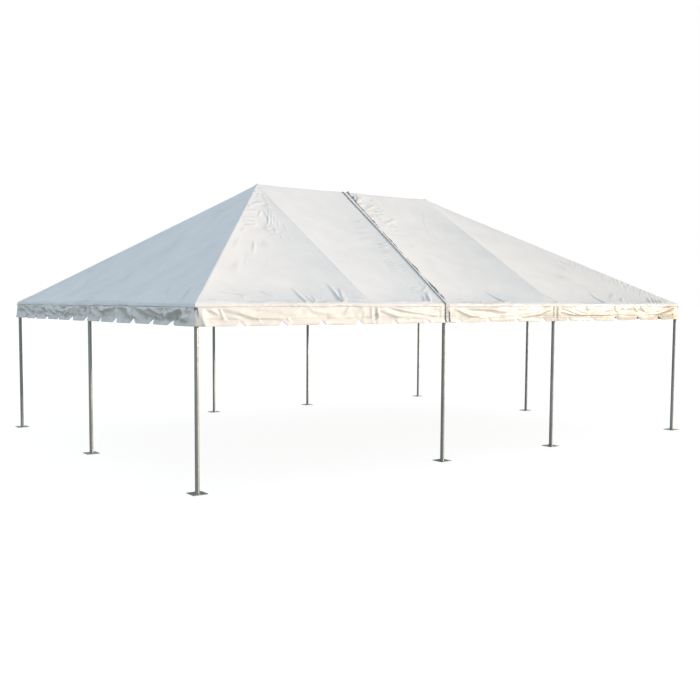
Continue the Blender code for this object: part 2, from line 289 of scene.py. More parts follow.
# Shallow creases that lie along the front eave, and short crumples higher up
FRONT_FOLDS = on_slope(
    (15, 13, 27, -427, 10, -420, 7, -402, 5), (14, 14, 29, -366, 4, -340, 6, -311, 10, -298, 9),
    (11, 24, 40, -402, 30, -378, 22, -360, 12), (8, 24, 32, -386, 28, -368, 18),
    (8, 24, 32, -342, 38, -330, 22), (11, 14, 27, -284, 6, -260, 7, -244, 5),
    (9, 12, 12, -218, 20, -213, 10), (9, 12, 12, -211, 20, -206, 10),
    (12, 14, 27, -182, 4, -152, 6, -112, 10), (12, 14, 27, -142, 3, -118, 4, -80, 9),
    (14, 14, 30, -40, 5, 2, 7, 26, 4, 48, 8), (8, 16, 29, 52, 6, 90, 4, 130, 6),
    (9, 16, 29, 160, 7, 210, 5, 256, 6), (11, 14, 27, 266, 6, 290, 7, 330, 5),
    (15, 14, 14, 333, 47, 319, 32), (14, 14, 14, 337, 30, 312, 10), (12, 13, 13, 324, 42, 306, 26),
    (14, 14, 24, 402, 5, 420, 6, 432, 7), (8, 22, 22, -197, 320, -185, 332),
    (17, 17, 22, -222, 289, -197, 301), (14, 15, 22, -261, 241, -238, 243),
    (13, 15, 20, -268, 228, -245, 231), (14, 15, 20, -273, 216, -256, 219, -249, 223),
    (9, 15, 20, -288, 197, -278, 202), (16, 15, 20, -321, 156, -306, 151, -293, 152, -280, 165),
    (8, 21, 22, -318, 127, -295, 131), (5, 13, 17, -304, 178, -305, 167),
    (8, 13, 17, -216, 270, -233, 248),
    (8, 13, 17, -210, 274, -216, 253, -219, 240, -229, 226, -243, 213),
    (6, 12, 15, -202, 271, -216, 247, -226, 230),
    (6, 12, 15, -195, 275, -209, 251, -222, 227, -235, 213), (5, 12, 15, -202, 255, -211, 238),
    (5, 12, 15, -220, 224, -227, 208, -230, 198), (4, 12, 15, -206, 235, -214, 221),
    (4, 12, 15, -225, 196, -227, 186), (3, 12, 15, -191, 217, -192, 211),
    (15, 15, 16, -241, 210, -233, 214), (21, 14, 19, -11, 329, 2, 346, 12, 351, 8, 339, -5, 326),
    (17, 15, 20, -10, 326, 20, 345), (17, 15, 20, -15, 312, 9, 326),
    (19, 15, 22, -5, 300, 30, 323), (13, 14, 20, -19, 287, 9, 300, 26, 300),
    (11, 14, 20, -3, 282, 23, 290), (15, 15, 22, 6, 258, 48, 282),
    (12, 15, 20, -27, 242, 1, 248, 11, 251), (8, 17, 22, -20, 216, 32, 218),
    (7, 17, 22, -8, 203, 23, 207), (6, 21, 22, -19, 149, 20, 151),
    (3, 15, 15, 147, 333, 125, 303, 105, 274, 86, 236), (9, 15, 20, -72, 230, -46, 232),
    (9, 15, 20, -84, 212, -53, 216), (14, 15, 22, -81, 171, -53, 179),
    (8, 15, 20, -114, 160, -99, 161), (9, 14, 18, -94, 72, -78, 74), (6, 15, 19, -72, 67, -75, 48),
    (11, 13, 16, -89, 37, -67, 53), (5, 13, 17, -49, 59, -44, 45), (5, 13, 17, -56, 46, -49, 37),
    (5, 13, 15, 292, 77, 287, 64), (9, 14, 17, 243, 96, 287, 100), (4, 12, 15, 308, 125, 278, 90),
    (9, 11, 14, 282, 117, 321, 146), (11, 15, 22, -237, 277, -224, 282),
    (9, 15, 22, -241, 264, -223, 269), (4, 17, 22, -184, 325, -187, 307),
    (4, 13, 17, -189, 304, -194, 282), (3, 13, 17, -201, 229, -206, 209),
    (3, 13, 17, -215, 190, -217, 178), (8, 15, 22, -318, 106, -288, 112),
    (7, 15, 22, -360, 94, -338, 100), (8, 15, 22, -269, 169, -251, 173),
    (8, 15, 22, -13, 274, 22, 283), (7, 15, 22, 13, 248, 42, 254), (7, 15, 22, -32, 170, 8, 176),
    (8, 15, 22, -88, 193, -62, 198), (8, 15, 22, -93, 113, -74, 113),
)

# On the left slope the cloth is smoother
LEFT_PULLS = on_slope(
    (18, 30, 30, -292, 4, -260, 42), (16, 30, 30, -6, 4, -22, 70), (16, 30, 30, 280, 4, 240, 50),
)
LEFT_FOLDS = on_slope(
    (14, 34, 40, -130, 30, -100, 55, -80, 90), (13, 34, 40, 110, 22, 134, 46),
    (13, 34, 40, 210, 24, 178, 52), (13, 34, 40, 30, 130, 10, 180),
)


def turned_by(degrees, a, up):
    """Each spot's place across and along creases of one slant."""
    slant = math.radians(degrees)
    across = up * math.cos(slant) - a * math.sin(slant)
    along = a * math.cos(slant) + up * math.sin(slant)
    return layered(across, along)


def fine_creases(side, a, h):
    """Where each spot lies across and along its creases, and how strongly it is creased."""
    spots = layered(a, h)
    best, second = np.zeros((2, *a.shape))
    for start, end, reach, slant, strength in CREASED[side]:
        gap, _ = beside_line([start, end], a, h)
        power = strength * bell(gap, reach)
        wins = power > best
        second = np.where(wins, best, np.maximum(second, power))
        best = np.where(wins, power, best)
        spots = np.where(wins[..., None], turned_by(slant, a, h), spots)
    patches = smooth(-0.45, 0.35, noise(8, a / 0.28 + 50, h / 0.34 + 5))
    strength = np.clip(best - second, 0, 1) * patches
    return np.concatenate([spots, strength[..., None]], axis=-1)


def unseen_pulls(side):
    """Wrinkles up from the feet of the rafters on a side that the photograph doesn't show."""
    random = np.random.default_rng(11 + len(side))
    lines = []
    for foot, _ in RAFTERS[side]:
        for _ in range(7):
            start = foot + random.uniform(-0.55, 0.55)
            lean = random.uniform(-0.20, 0.20)
            reach = random.uniform(0.20, 0.55)
            height = random.uniform(0.007, 0.015)
            width = random.uniform(0.020, 0.032)
            if abs(start) < -RAFTERS[side][0][0] - 0.15:
                line = [(start, 0.03), (start + lean, 0.03 + reach)]
                lines.append((height, width, width * 1.2, line))
    return lines


PULLS = {
    "front": FRONT_PULLS,
    "left": LEFT_PULLS,
    "right": unseen_pulls("right"),
    "back": unseen_pulls("back"),
}
FOLDS = {"front": FRONT_FOLDS, "left": LEFT_FOLDS, "right": [], "back": []}


def cover_height(side, a, h):
    """How far the cover stands off its plane: up over fittings, down between rafters, wrinkled."""
    a, h = spots_at(a, h)
    share = np.clip(h / SLOPE_LENGTH, 0, 1)
    lift, sag, inside = np.zeros((3, *a.shape))
    for foot, head in RAFTERS[side]:
        lift = np.maximum(lift, 1 - smooth(*OFF_FOOT, np.hypot(a - foot, h)))
        lift = np.maximum(lift, 1 - smooth(*OFF_HEAD, np.hypot(a - head, h - SLOPE_LENGTH)))
    pairs = zip(RAFTERS[side], RAFTERS[side][1:], SAGS[side])
    for (left_foot, left_head), (right_foot, right_head), depth in pairs:
        left = left_foot + (left_head - left_foot) * share
        right = right_foot + (right_head - right_foot) * share
        width = np.maximum(right - left, 1e-6)
        across = np.clip((a - left) / width, 0, 1)
        hang = 4 * across * (1 - across) * (1 - np.exp(-((share / HELD_BY_EAVE) ** 1.5)))
        if left_head == right_head:
            # A bay whose rafters meet hangs most at its foot
            hang *= 1.15 * (1 - share)
        else:
            hang *= 1 - np.exp(-(((1 - share) / HELD_BY_RIDGE) ** 1.3))
        sag += depth * hang
        left_fade, right_fade = smooth(0, BESIDE_RAFTER, np.array([across, 1 - across]) * width)
        inside += left_fade * right_fade
    # No wrinkle crosses a rafter, the ridge or the bend at the eave
    calm = np.clip(inside, 0, 1) * smooth(0, 0.04, SLOPE_LENGTH - h) * smooth(0.012, 0.04, h)
    wrinkles = folds(PULLS[side], a, h, held=True) + folds(FOLDS[side], a, h)
    wrinkles += 0.0022 * noise(5, a / 0.34 + 40, h / 0.50)
    # The cover stands up in a small peak over each crown
    crowns = [head for _, head in RAFTERS[side] if head] if side in LONG_SIDES else [0.0]
    from_crown = np.min([np.hypot(a - crown, h - SLOPE_LENGTH) for crown in crowns], axis=0)
    lift = lift + CROWN_PEAK * bell(from_crown, OFF_CROWN)
    return FITTING_LIFT * lift - sag + wrinkles * calm


def reach_of(side):
    """How far a side's eave rail is from the middle of the tent."""
    return HALF_WIDTH if side in LONG_SIDES else HALF_LENGTH


def half_run(side):
    """Half the length of a side's eave rail."""
    return HALF_LENGTH if side in LONG_SIDES else HALF_WIDTH


def out_way(side):
    return np.array([*OUT_WAYS[side], 0.0])


def slope_way(side):
    """The outward direction of a side's slope."""
    run = HALF_WIDTH if side in LONG_SIDES else HALF_LENGTH - HALF_RIDGE
    way = out_way(side) * RISE + (0, 0, run)
    return way / np.linalg.norm(way)


def eave_spot(side, a, out):
    """A point beyond the eave rail's axis, level with where the cover bends down."""
    right, way = RIGHT_WAYS[side], OUT_WAYS[side]
    x = right[0] * a + way[0] * (reach_of(side) + out)
    y = right[1] * a + way[1] * (reach_of(side) + out)
    return np.array([x, y, EAVE_Z + BEND_RISE * out])


def ridge_spot(x):
    return np.array([x, 0.0, RIDGE_Z + COVER_OVER_TUBES / slope_way("front")[2]])


def rows_up():
    """Distances up the slope: close together at the eave and near the ridge."""
    skirt = [-SKIRT_DROP, -0.027, -EAVE_BEND]
    bend = [-0.012, -0.005, 0.002, 0.010, EAVE_BEND]
    fine = [*np.arange(0.033, 0.40, 0.0145), *np.arange(0.42, 0.61, 0.03)]
    middle = np.linspace(0.70, 1.70, 8)
    high = np.arange(1.78, SLOPE_LENGTH - 0.07, 0.033)
    last = SLOPE_LENGTH - np.array([0.055, 0.035, 0.018, 0])
    return np.concatenate([skirt, bend, fine, middle, high, last])


def add_object(name, data):
    obj = bpy.data.objects.new(name, data)
    bpy.context.scene.collection.objects.link(obj)
    return obj


def cloth_object(name, points, flat, creases, painted_shade_and_dirt, material, thickness, hole=None):
    """A grid of cloth, with its flat metres as its UV map, where it is creased and how much painted
    shade and dirt it carries.
    """
    rows, columns = points.shape[:2]
    faces = []
    for row in range(rows - 1):
        for column in range(columns - 1):
            first = row * columns + column
            if hole is None or not hole[row, column]:
                faces.append((first, first + 1, first + 1 + columns, first + columns))
    mesh = bpy.data.meshes.new(name)
    mesh.from_pydata(points.reshape(-1, 3).tolist(), [], faces)
    layer = mesh.uv_layers.new(name="cloth_metres")
    corners = np.zeros(len(mesh.loops), int)
    mesh.loops.foreach_get("vertex_index", corners)
    flat = flat.reshape(-1, 2)
    layer.data.foreach_set("uv", flat[corners].astype(np.float32).ravel())
    creased = mesh.attributes.new("creases", "FLOAT_VECTOR", "POINT")
    creased.data.foreach_set("vector", creases.astype(np.float32).ravel())
    # Painted shade and dirt, from 0 to 1, that darken the cloth's colour
    shade_and_dirt_layer = mesh.attributes.new("painted_shade_and_dirt", "FLOAT", "POINT")
    shade_and_dirt_layer.data.foreach_set("value", painted_shade_and_dirt.astype(np.float32).ravel())
    mesh.materials.append(material)
    # Points that no face uses and doubled ones are taken out
    shape = bmesh.new()
    shape.from_mesh(mesh)
    loose = [vert for vert in shape.verts if not vert.link_faces]
    bmesh.ops.delete(shape, geom=loose, context="VERTS")
    bmesh.ops.remove_doubles(shape, verts=shape.verts[:], dist=0.0002)
    shape.to_mesh(mesh)
    shape.free()
    mesh.shade_smooth()
    obj = add_object(name, mesh)
    modifier = obj.modifiers.new("Cloth thickness", "SOLIDIFY")
    modifier.thickness = thickness
    modifier.offset = -1
    return obj


def on_each_side(value_of, sides, a, up):
    """A value for every spot of a grid whose columns stand on different sides."""
    a, up = np.broadcast_arrays(a, up)
    result = None
    for side in RIGHT_WAYS:
        mine = np.array([one == side for one in sides])
        if mine.any():
            values = value_of(side, a[:, mine], up[:, mine])
            if result is None:
                result = np.zeros(a.shape + values.shape[2:])
            result[:, mine] = values
    return result


def bay_steps(count, width, at_first_hip, at_last_hip):
    """Shares across a bay: even steps, with closer ones beside the rafters that bound it."""
    near = np.array([0.004, 0.012, 0.028]) / width
    beyond = np.array([0.010, 0.020, 0.025]) / width
    steps = [np.linspace(0, 1, count + 1)[:-1], near, 1 - near]
    if at_first_hip:
        steps += [-beyond, [-COVER_OVER_TUBES / width]]
    if at_last_hip:
        steps += [[1.0], 1 + beyond]
    return np.sort(np.concatenate(steps))


def from_nearest_foot(side, a):
    feet = np.array([foot for foot, _ in RAFTERS[side]])
    return np.abs(a[..., None] - feet).min(axis=-1)


def eave_puff(side, a, h):
    """How far the cloth stands up off the eave rail between the feet of the rafters."""
    free = smooth(0.10, 0.30, from_nearest_foot(side, a))
    wave = np.clip(0.35 + noise(71 + len(side), a / 0.31 + 50), 0, 1)
    ripple = np.abs(noise(75 + len(side), a / 0.09 + 50, h / 0.05))
    return (0.011 * wave + 0.006 * ripple) * free * bell(h, 0.10)


def skirt_height(side, a, h):
    """The skirt under the eave's bend lies on the valance, whose swags push it out."""
    z = EAVE_Z + BEND_RISE * COVER_OVER_TUBES + h
    over = valance_height(side, a, z) + 0.0024 - COVER_OVER_TUBES
    bulge = np.clip(noise(77 + len(side), a / 0.16 + 60), 0, 1)
    bulge = bulge + 0.4 * np.abs(noise(79, a / 0.05 + 90))
    free = smooth(0.08, 0.25, from_nearest_foot(side, a))
    bulge = 0.012 * bulge * free * smooth(0.0, -SKIRT_DROP, h)
    return np.where(h < -EAVE_BEND - 0.001, np.maximum(over, 0), 0) + bulge


def fold_painted_shade(side, a, h):
    """Painted shade along the side of the sharper wrinkles that faces away from the low warm lamp.
    """
    total = np.zeros(a.shape)
    for height, left, _, points in PULLS[side] + FOLDS[side]:
        run, rise = points[-1][0] - points[0][0], points[-1][1] - points[0][1]
        # The side of each wrinkle that faces away from the lamp takes the painted shade
        shaded = 1 if 0.80 * rise + 0.44 * run > 0 else -1
        gap, along = beside_line(points, a, h)
        line = bell(gap * shaded - 0.5 * left, 0.012)
        total = np.maximum(total, 17 * height * line * np.sin(np.pi * along) ** 0.5)
    return np.clip(total, 0, 0.34)


def eave_crease_painted_shade(side, a, h):
    """A broken grey line of painted crease shade just above the eave's bend."""
    patches = smooth(-0.2, 0.5, noise(9 + len(side), a / 0.45 + 50))
    place = 0.040 + 0.018 * noise(19 + len(side), a / 0.30 + 50)
    return 0.34 * patches * bell(h - place, 0.014)


def cover_length(name, bays, material):
    """One length of the cover: a single sheet that goes round its bays from seam to seam."""
    columns = []
    for side, bay, count in bays:
        left, right = RAFTERS[side][bay], RAFTERS[side][bay + 1]
        at_first_hip, at_last_hip = bay == 0, bay == len(RAFTERS[side]) - 2
        shares = bay_steps(count, right[0] - left[0], at_first_hip, at_last_hip)
        for share in shares:
            foot = left[0] + (right[0] - left[0]) * share
            head = left[1] + (right[1] - left[1]) * share
            columns.append((side, foot, head, at_first_hip and share == shares[0]))
    columns.append((side, *right, False))
    sides, feet, heads, corners = zip(*columns)
    feet, heads = np.array(feet), np.array(heads)
    feet[[0, -1]] += (SEAM_GAP, -SEAM_GAP)
    heads[[0, -1]] += (SEAM_GAP, -SEAM_GAP)

    heights = rows_up()[:, None]
    a = feet + (heads - feet) * np.clip(heights / SLOPE_LENGTH, 0, 1)
    off = on_each_side(cover_height, sides, a, np.maximum(heights, 0))
    off += on_each_side(skirt_height, sides, a, heights)

    starts, tops, slopes, levels = [], [], [], []
    for side, foot, head, at_corner in zip(sides, feet, heads, corners):
        slope, level = slope_way(side), out_way(side)
        if at_corner:
            other = slope_way(BEFORE[side])
            slope = (slope + other) / (1 + slope @ other)
            level = level + out_way(BEFORE[side])
        starts.append(eave_spot(side, foot, COVER_OVER_TUBES))
        ridge_x = {"front": head, "back": -head, "right": HALF_RIDGE, "left": -HALF_RIDGE}[side]
        tops.append(ridge_spot(ridge_x))
        slopes.append(slope)
        levels.append(level)
    starts, tops, slopes, levels = (np.array(rows) for rows in (starts, tops, slopes, levels))
    between = (slopes * levels).sum(axis=1) / (levels**2).sum(axis=1)
    bent = (slopes + levels) / (1 + between)[:, None]
    run_up = (tops - starts) / SLOPE_LENGTH

    # The cloth goes up the skirt, round the bend at the eave and up the slope
    part = np.clip((heights + EAVE_BEND) / (2 * EAVE_BEND), 0, 1)[..., None]
    early, middle, late = (1 - part) ** 2, 2 * part * (1 - part), part**2
    drop = np.array([0, 0, EAVE_BEND])
    points = early * (starts - drop) + middle * starts + late * (starts + run_up * EAVE_BEND)
    points += run_up * np.maximum(heights - EAVE_BEND, 0)[..., None]
    points[..., 2] += np.minimum(heights + EAVE_BEND, 0)
    points += (early * levels + middle * bent + late * slopes) * off[..., None]
    points[..., 2] += on_each_side(eave_puff, sides, a, heights)
    points[-1] = tops
    points[-1, :, 2] += off[-1] / slope_way("front")[2]

    along = along_steps(np.where(corners[1:], 0, np.abs(np.diff(feet))))
    flat = layered(along, heights)
    # Fine creases, and painted shade along the eave's crease and beside the sharper wrinkles
    creases, eave_painted_shade, painted_shade_and_dirt = (
        on_each_side(value_of, sides, a, heights)
        for value_of in (fine_creases, eave_crease_painted_shade, fold_painted_shade)
    )
    painted_shade_and_dirt = np.maximum(eave_painted_shade, painted_shade_and_dirt)
    return cloth_object(name, points, flat, creases, painted_shade_and_dirt, material, CLOTH)


# The front valance: long swags, gathered columns at the rafters and creases at the tabs
FRONT_SWAGS = on_valance(
    (18, 35, 16, -438, 2050, -429, 2020, -418, 1970),
    (26, 45, 16, -416, 2040, -394, 1990, -372, 1930, -327, 1910, -272, 1905),
    (12, 30, 14, -409, 1940, -395, 1920, -378, 1870),
    (16, 30, 14, -270, 1915, -250, 1910, -220, 1920),
    (10, 40, 30, -355, 2020, -320, 1970, -290, 1980),
    (10, 40, 30, -300, 2030, -275, 1980, -252, 1980),
    (22, 36, 14, -194, 2060, -174, 2050, -157, 2020, -137, 1990, -92, 1945),
    (26, 50, 18, -193, 2030, -174, 1970, -157, 1925, -120, 1915, -90, 1920),
    (28, 45, 16, -62, 2040, -41, 1960, -28, 1925, 0, 1900, 28, 1895),
    (18, 24, 14, -44, 2050, -28, 2030, 2, 2020, 26, 2030),
    (12, 26, 18, 2, 2020, 20, 2000, 40, 1990),
    (24, 45, 18, 26, 1905, 58, 1910, 86, 1920, 110, 1960, 132, 2030),
    (20, 30, 14, 154, 2045, 178, 1980, 197, 1940, 218, 1925),
    (18, 26, 12, 150, 1990, 184, 1930, 217, 1920), (12, 22, 14, 172, 2030, 196, 1970, 219, 1930),
    (22, 36, 14, 217, 1920, 234, 1930, 256, 1930, 286, 1922),
    (12, 30, 20, 220, 1940, 244, 1980, 270, 2000),
    (22, 36, 14, 288, 1915, 316, 1925, 344, 1915, 366, 1905),
    (20, 34, 14, 364, 1905, 392, 1940, 418, 1995, 440, 2060),
    (12, 22, 12, 376, 1965, 412, 2020, 436, 2060),
)
FRONT_TUCKS = on_valance(
    (22, 10, 24, -417, 2030, -412, 1930, -402, 1835), (14, 12, 24, -368, 1920, -360, 1830),
    (14, 12, 24, -328, 1920, -319, 1830), (12, 14, 14, -363, 2060, -369, 2000),
    (10, 14, 14, -298, 2060, -290, 2000), (14, 14, 20, -237, 2060, -242, 2000, -245, 1930),
    (10, 14, 20, -214, 1990, -218, 1900), (22, 14, 26, -193, 1970, -190, 1890, -183, 1835),
    (14, 12, 22, -160, 1900, -156, 1835), (14, 12, 22, -141, 1900, -132, 1835),
    (14, 12, 24, -32, 1900, -21, 1840), (14, 12, 24, 27, 1900, 38, 1840),
    (14, 14, 14, 328, 2050, 344, 1935), (14, 14, 14, 346, 2050, 366, 1935),
    (12, 14, 18, 213, 2050, 218, 1960), (12, 14, 18, 280, 2050, 288, 1950),
    (20, 14, 26, 434, 1930, 436, 1850),
)
# Places where the valance is gathered to a rafter's foot: a groove between two soft columns
FRONT_GATHERS = [(-1.985, 0.016, 0.040), (1.425, 0.018, 0.036), (-0.80, 0.010, 0.05)]

# At the near left corner the end's cloth wraps round on to the front
CORNER_PLEATS = on_valance(
    (50, 45, 60, -437, 1820, -439, 1930, -443, 2050),
)

# The left valance is crumpled into pointed facets that hang from the eave: the place and height
# of each point, the facet's lean and how far it stands out
LEFT_PEAKS = [
    (2.95, 2.060, -0.90, 0.036),
    (2.40, 2.055, -0.80, 0.026),
    (1.95, 2.060, -0.60, 0.022),
    (1.46, 2.060, -0.35, 0.030),
    (0.98, 2.057, -0.90, 0.050),
    (0.62, 2.060, -0.30, 0.028),
    (0.18, 2.064, -0.90, 0.050),
    (-0.36, 2.060, -0.70, 0.030),
    (-0.80, 2.060, -0.40, 0.024),
    (-1.12, 2.060, -0.60, 0.030),
    (-1.67, 2.050, -1.30, 0.046),
    (-2.25, 2.060, -0.80, 0.026),
]
LEFT_SWAGS = on_valance(
    (30, 40, 18, -308, 2060, -270, 1960, -242, 1885),
    (16, 20, 14, -284, 2050, -248, 1990, -216, 1950),
    (12, 18, 14, -268, 2050, -236, 2020, -210, 1990),
    (20, 30, 18, -124, 2030, -92, 1950, -57, 2030), (18, 24, 20, 32, 2030, 61, 1990, 90, 2040),
    (32, 34, 16, 242, 1920, 268, 1990, 300, 2060), (18, 24, 18, 206, 2050, 234, 1950, 242, 2050),
)
LEFT_TUCKS = on_valance(
    (16, 22, 16, 138, 2050, 156, 1900), (16, 22, 16, 152, 2050, 168, 1910),
    (20, 22, 16, -2, 2050, -28, 1920), (18, 22, 18, 305, 2050, 310, 1950, 313, 1860),
    (16, 22, 16, 294, 2030, 300, 1880),
)


def unseen_swags(side):
    """Swags of a like size on the sides that the photograph doesn't show."""
    random = np.random.default_rng(21 + len(side))
    lines = []
    reach = -RAFTERS[side][0][0]
    place = -reach + 0.1
    while place < reach - 0.7:
        span = random.uniform(0.4, 0.9)
        high, low = random.uniform(2.00, 2.05), random.uniform(1.91, 1.95)
        if random.random() < 0.5:
            high, low = low, high
        line = [(place, high), (place + span / 2, (high + low) / 2 - 0.02), (place + span, low)]
        lines.append((random.uniform(0.016, 0.028), 0.036, 0.016, line))
        place += span * random.uniform(0.55, 0.95)
    return lines


SWAGS = {
    "front": FRONT_SWAGS,
    "left": LEFT_SWAGS,
    "right": unseen_swags("right"),
    "back": unseen_swags("back"),
}
TUCKS = {"front": FRONT_TUCKS, "left": LEFT_TUCKS, "right": [], "back": []}
PEAKS = {"left": LEFT_PEAKS, "right": [(-a, *rest) for a, *rest in LEFT_PEAKS]}
GATHERS = {
    "front": FRONT_GATHERS,
    "right": [(0.0, 0.020, 0.045)],
    "back": [(-a, *rest) for a, *rest in FRONT_GATHERS],
}
# How deep each side's swags are, and how crumpled and finely creased it is between them
SWAG_DEPTH = {"front": 0.64, "left": 1.45, "right": 1.2, "back": 1.0}
CRUMPLES = {"front": 0.005, "left": 0.115, "right": 0.090, "back": 0.030}
VALANCE_SLANTS = {"front": 14, "left": 58, "right": 50, "back": 24}
CREASE_STRENGTHS = {"front": 0.16, "left": 0.9, "right": 0.8, "back": 0.3}
# How much painted shade each side takes in its valleys, how dark its hem line of painted shade and
# dirt is, and how much painted shade lies on what faces down and on what faces away from the lamp
VALLEY_PAINTED_SHADE = {"front": 0.24, "left": 0.22, "right": 0.20, "back": 0.18}
HEM_SHADE_AND_DIRT = {"front": 0.50, "left": 0.10, "right": 0.10, "back": 0.30}
UNDER_PAINTED_SHADE = {"front": 0.10, "left": 0.30, "right": 0.26, "back": 0.16}
LEAN_PAINTED_SHADE = {"front": 0.06, "left": 0.34, "right": 0.30, "back": 0.10}


def tab_pitch(side):
    reach = half_run(side) + COVER_EDGE
    tabs = SIDE_TABS if side in LONG_SIDES else END_TABS
    return 2 * reach / tabs, reach


def hem_height(side, a, _=None):
    """The valance's lower edge at any height, with its notches and slightly uneven tabs."""
    pitch, reach = tab_pitch(side)
    from_notch = np.abs((a + reach + pitch / 2) % pitch - pitch / 2)
    at_end = (a < -reach + pitch / 2) | (a > reach - pitch / 2)
    notch = np.clip(1 - from_notch / NOTCH_HALF_WIDTHS[side], 0, 1) * ~at_end
    wander = 0.004 * noise(31, a / 0.35 + 60)
    return VALANCE_BOTTOM_Z + NOTCH_HEIGHT * notch**1.15 + wander


def valance_folds(side, a, z):
    """How far the valance's folds stand out: swags, tucks, pointed facets and crumples."""
    shape = SWAG_DEPTH[side] * (folds(SWAGS[side], a, z) + folds(TUCKS[side], a, z, held=True))
    for place, top, lean, height in PEAKS.get(side, []):
        # A flat facet that widens downward from a point under the eave
        drop = np.maximum(top - z, 0)
        half = 0.02 + drop * (0.7 + 0.5 * abs(lean))
        middle = place - lean * 0.4 * drop
        facet = np.clip(1 - np.abs(a - middle) / half, 0, 1)
        shape += height * facet * smooth(0, 0.04, drop)
    for place, depth, width in GATHERS.get(side, []):
        gap = (a - place) / width
        shape -= depth * np.exp(-((gap * 2) ** 2))
        shape += 0.6 * depth * (np.exp(-3 * (gap - 1.1) ** 2) + np.exp(-3 * (gap + 1.1) ** 2))
    shape += CRUMPLES[side] * (crumple(40 + len(side), a / 0.34 + 30, z / 0.15) - 0.55)
    shape += 0.0016 * noise(45, a / 0.07, z / 0.05)
    return shape


def valance_height(side, a, z):
    """How far the valance's outer face hangs from the rail's axis."""
    a, z = spots_at(a, z)
    from_foot = from_nearest_foot(side, a)
    over_fitting = FITTING_LIFT * (1 - smooth(*OFF_TEE, from_foot))
    fall = smooth(VALANCE_TOP_Z + 0.002, VALANCE_TOP_Z - 0.034, z)
    base = VALANCE_OVER_RAIL + over_fitting + 0.006 * fall
    shape = valance_folds(side, a, z)
    # The crease over the tabs, and the tabs' outward curl
    pitch, edge = tab_pitch(side)
    tab = np.floor((a + edge) / pitch)
    across = (a + edge) / pitch - tab
    curl = 0.020 + 0.012 * noise(51, tab * 3.7 + 0.5, tab * 1.3 + 0.5)
    crease_z = VALANCE_BOTTOM_Z + NOTCH_HEIGHT + 0.010 + 0.008 * noise(52, a / 0.3)
    below = np.clip((crease_z - z) / NOTCH_HEIGHT, 0, 1.2)
    shape *= 1 - 0.75 * smooth(0, 0.6, below)
    shape += curl * below - 0.006 * bell(z - crease_z, 0.008)
    shape += 0.016 * below * bell(across - 0.10, 0.08)
    # Towards a corner the cloth is smooth and flares out below
    corner = 1 - smooth(*OFF_CORNER, half_run(side) - np.abs(a))
    flare = 0.022 * np.clip((VALANCE_TOP_Z - z) / 0.2, 0, 1) ** 1.5
    if side == "front":
        flare = flare + folds(CORNER_PLEATS, a, z, held=True)
    off = base + fall * (shape * (1 - 0.8 * corner) + flare * corner)
    # Nothing hangs through the rail, the sockets or the legs
    by_rail = np.where(z > EAVE_Z - 0.045, OVER_RAIL, INWARD)
    by_leg = (OVER_LEG - INWARD) * (1 - smooth(0.040, 0.075, from_foot)) + INWARD
    return np.maximum(off, np.maximum(by_rail, by_leg))


def valance_creases(side, a, z):
    strength = CREASE_STRENGTHS[side] * smooth(-0.5, 0.4, noise(81, a / 0.22 + 50, z / 0.12))
    return np.concatenate([turned_by(VALANCE_SLANTS[side], a, z), strength[..., None]], axis=-1)


def valance_shade_and_dirt(side, a, z):
    """Painted shade in the valleys of the folds, on facets that face down and on facets that face
    away from the lamp, and a broken dark hem line of painted shade and dirt.
    """

    def height_at(right, up):
        return valance_height(side, a + right, z + up)

    around = height_at(-0.045, 0) + height_at(0.045, 0)
    around += height_at(0, 0.030) + height_at(0, -0.030)
    # Painted shade in the valleys between the folds
    valley = VALLEY_PAINTED_SHADE[side] * smooth(0.001, 0.014, around / 4 - height_at(0, 0))
    lean = (height_at(0, 0.008) - height_at(0, -0.008)) / 0.016
    # Painted shade on facets that face down
    under = UNDER_PAINTED_SHADE[side] * smooth(0.10, 0.65, lean)
    turn = (height_at(0.010, 0) - height_at(-0.010, 0)) / 0.020
    # Painted shade on facets that face away from the lamp
    under += LEAN_PAINTED_SHADE[side] * smooth(0.05, 0.55, turn)
    patches = smooth(-0.35, 0.25, noise(83, a / 0.16 + 50))
    # A broken dark line along the hem, painted shade and dirt
    hem = HEM_SHADE_AND_DIRT[side] * patches * bell(z - hem_height(side, a), 0.008)
    return np.maximum(np.maximum(valley, under), hem)


def valance_length(name, runs, material):
    """One length of valance: a strip round its sides, with a soft corner at each leg."""
    sides, places, turns = [], [], []
    for side, low, high in runs:
        count = round((high - low) / VALANCE_STEP)
        rounding = [] if side == runs[-1][0] else np.linspace(0, math.pi / 2, 9)[1:-1].tolist()
        places += np.linspace(low, high, count + 1).tolist() + [high] * len(rounding)
        turns += [0.0] * (count + 1) + rounding
        sides += [side] * (count + 1 + len(rounding))
    a, turns = np.array(places), np.array(turns)
    hem = on_each_side(hem_height, sides, a[None, :], 0.0)[0]
    z = hem + np.linspace(0, 1, VALANCE_ROWS)[:, None] * (VALANCE_TOP_Z - hem)
    off = on_each_side(valance_height, sides, a, z)
    right = np.array([RIGHT_WAYS[side] for side in sides], float)
    out = np.array([OUT_WAYS[side] for side in sides], float)
    reach = np.array([reach_of(side) for side in sides])
    centre = right * a[:, None] + out * reach[:, None]
    way = out * np.cos(turns)[:, None] + right * np.sin(turns)[:, None]
    points = np.zeros((*z.shape, 3))
    points[..., :2] = centre + way * off[..., None]
    points[..., 2] = z
    around = along_steps(np.hypot(*np.diff(points[-1, :, :2], axis=0).T))
    flat = layered(around, z)
    creases = on_each_side(valance_creases, sides, a, z)
    # Painted shade in the folds, and a hem line of painted shade and dirt
    painted_shade_and_dirt = on_each_side(valance_shade_and_dirt, sides, a, z)
    # Each corner has a hole for a strap
    middle_turn = np.abs(turns - math.pi / 4) < CORNER_HOLE_HALF_TURN
    hole = middle_turn & (np.abs(z - CORNER_HOLE_Z) < CORNER_HOLE_HALF_HEIGHT)
    return cloth_object(name, points, flat, creases, painted_shade_and_dirt, material, VALANCE_CLOTH, hole)


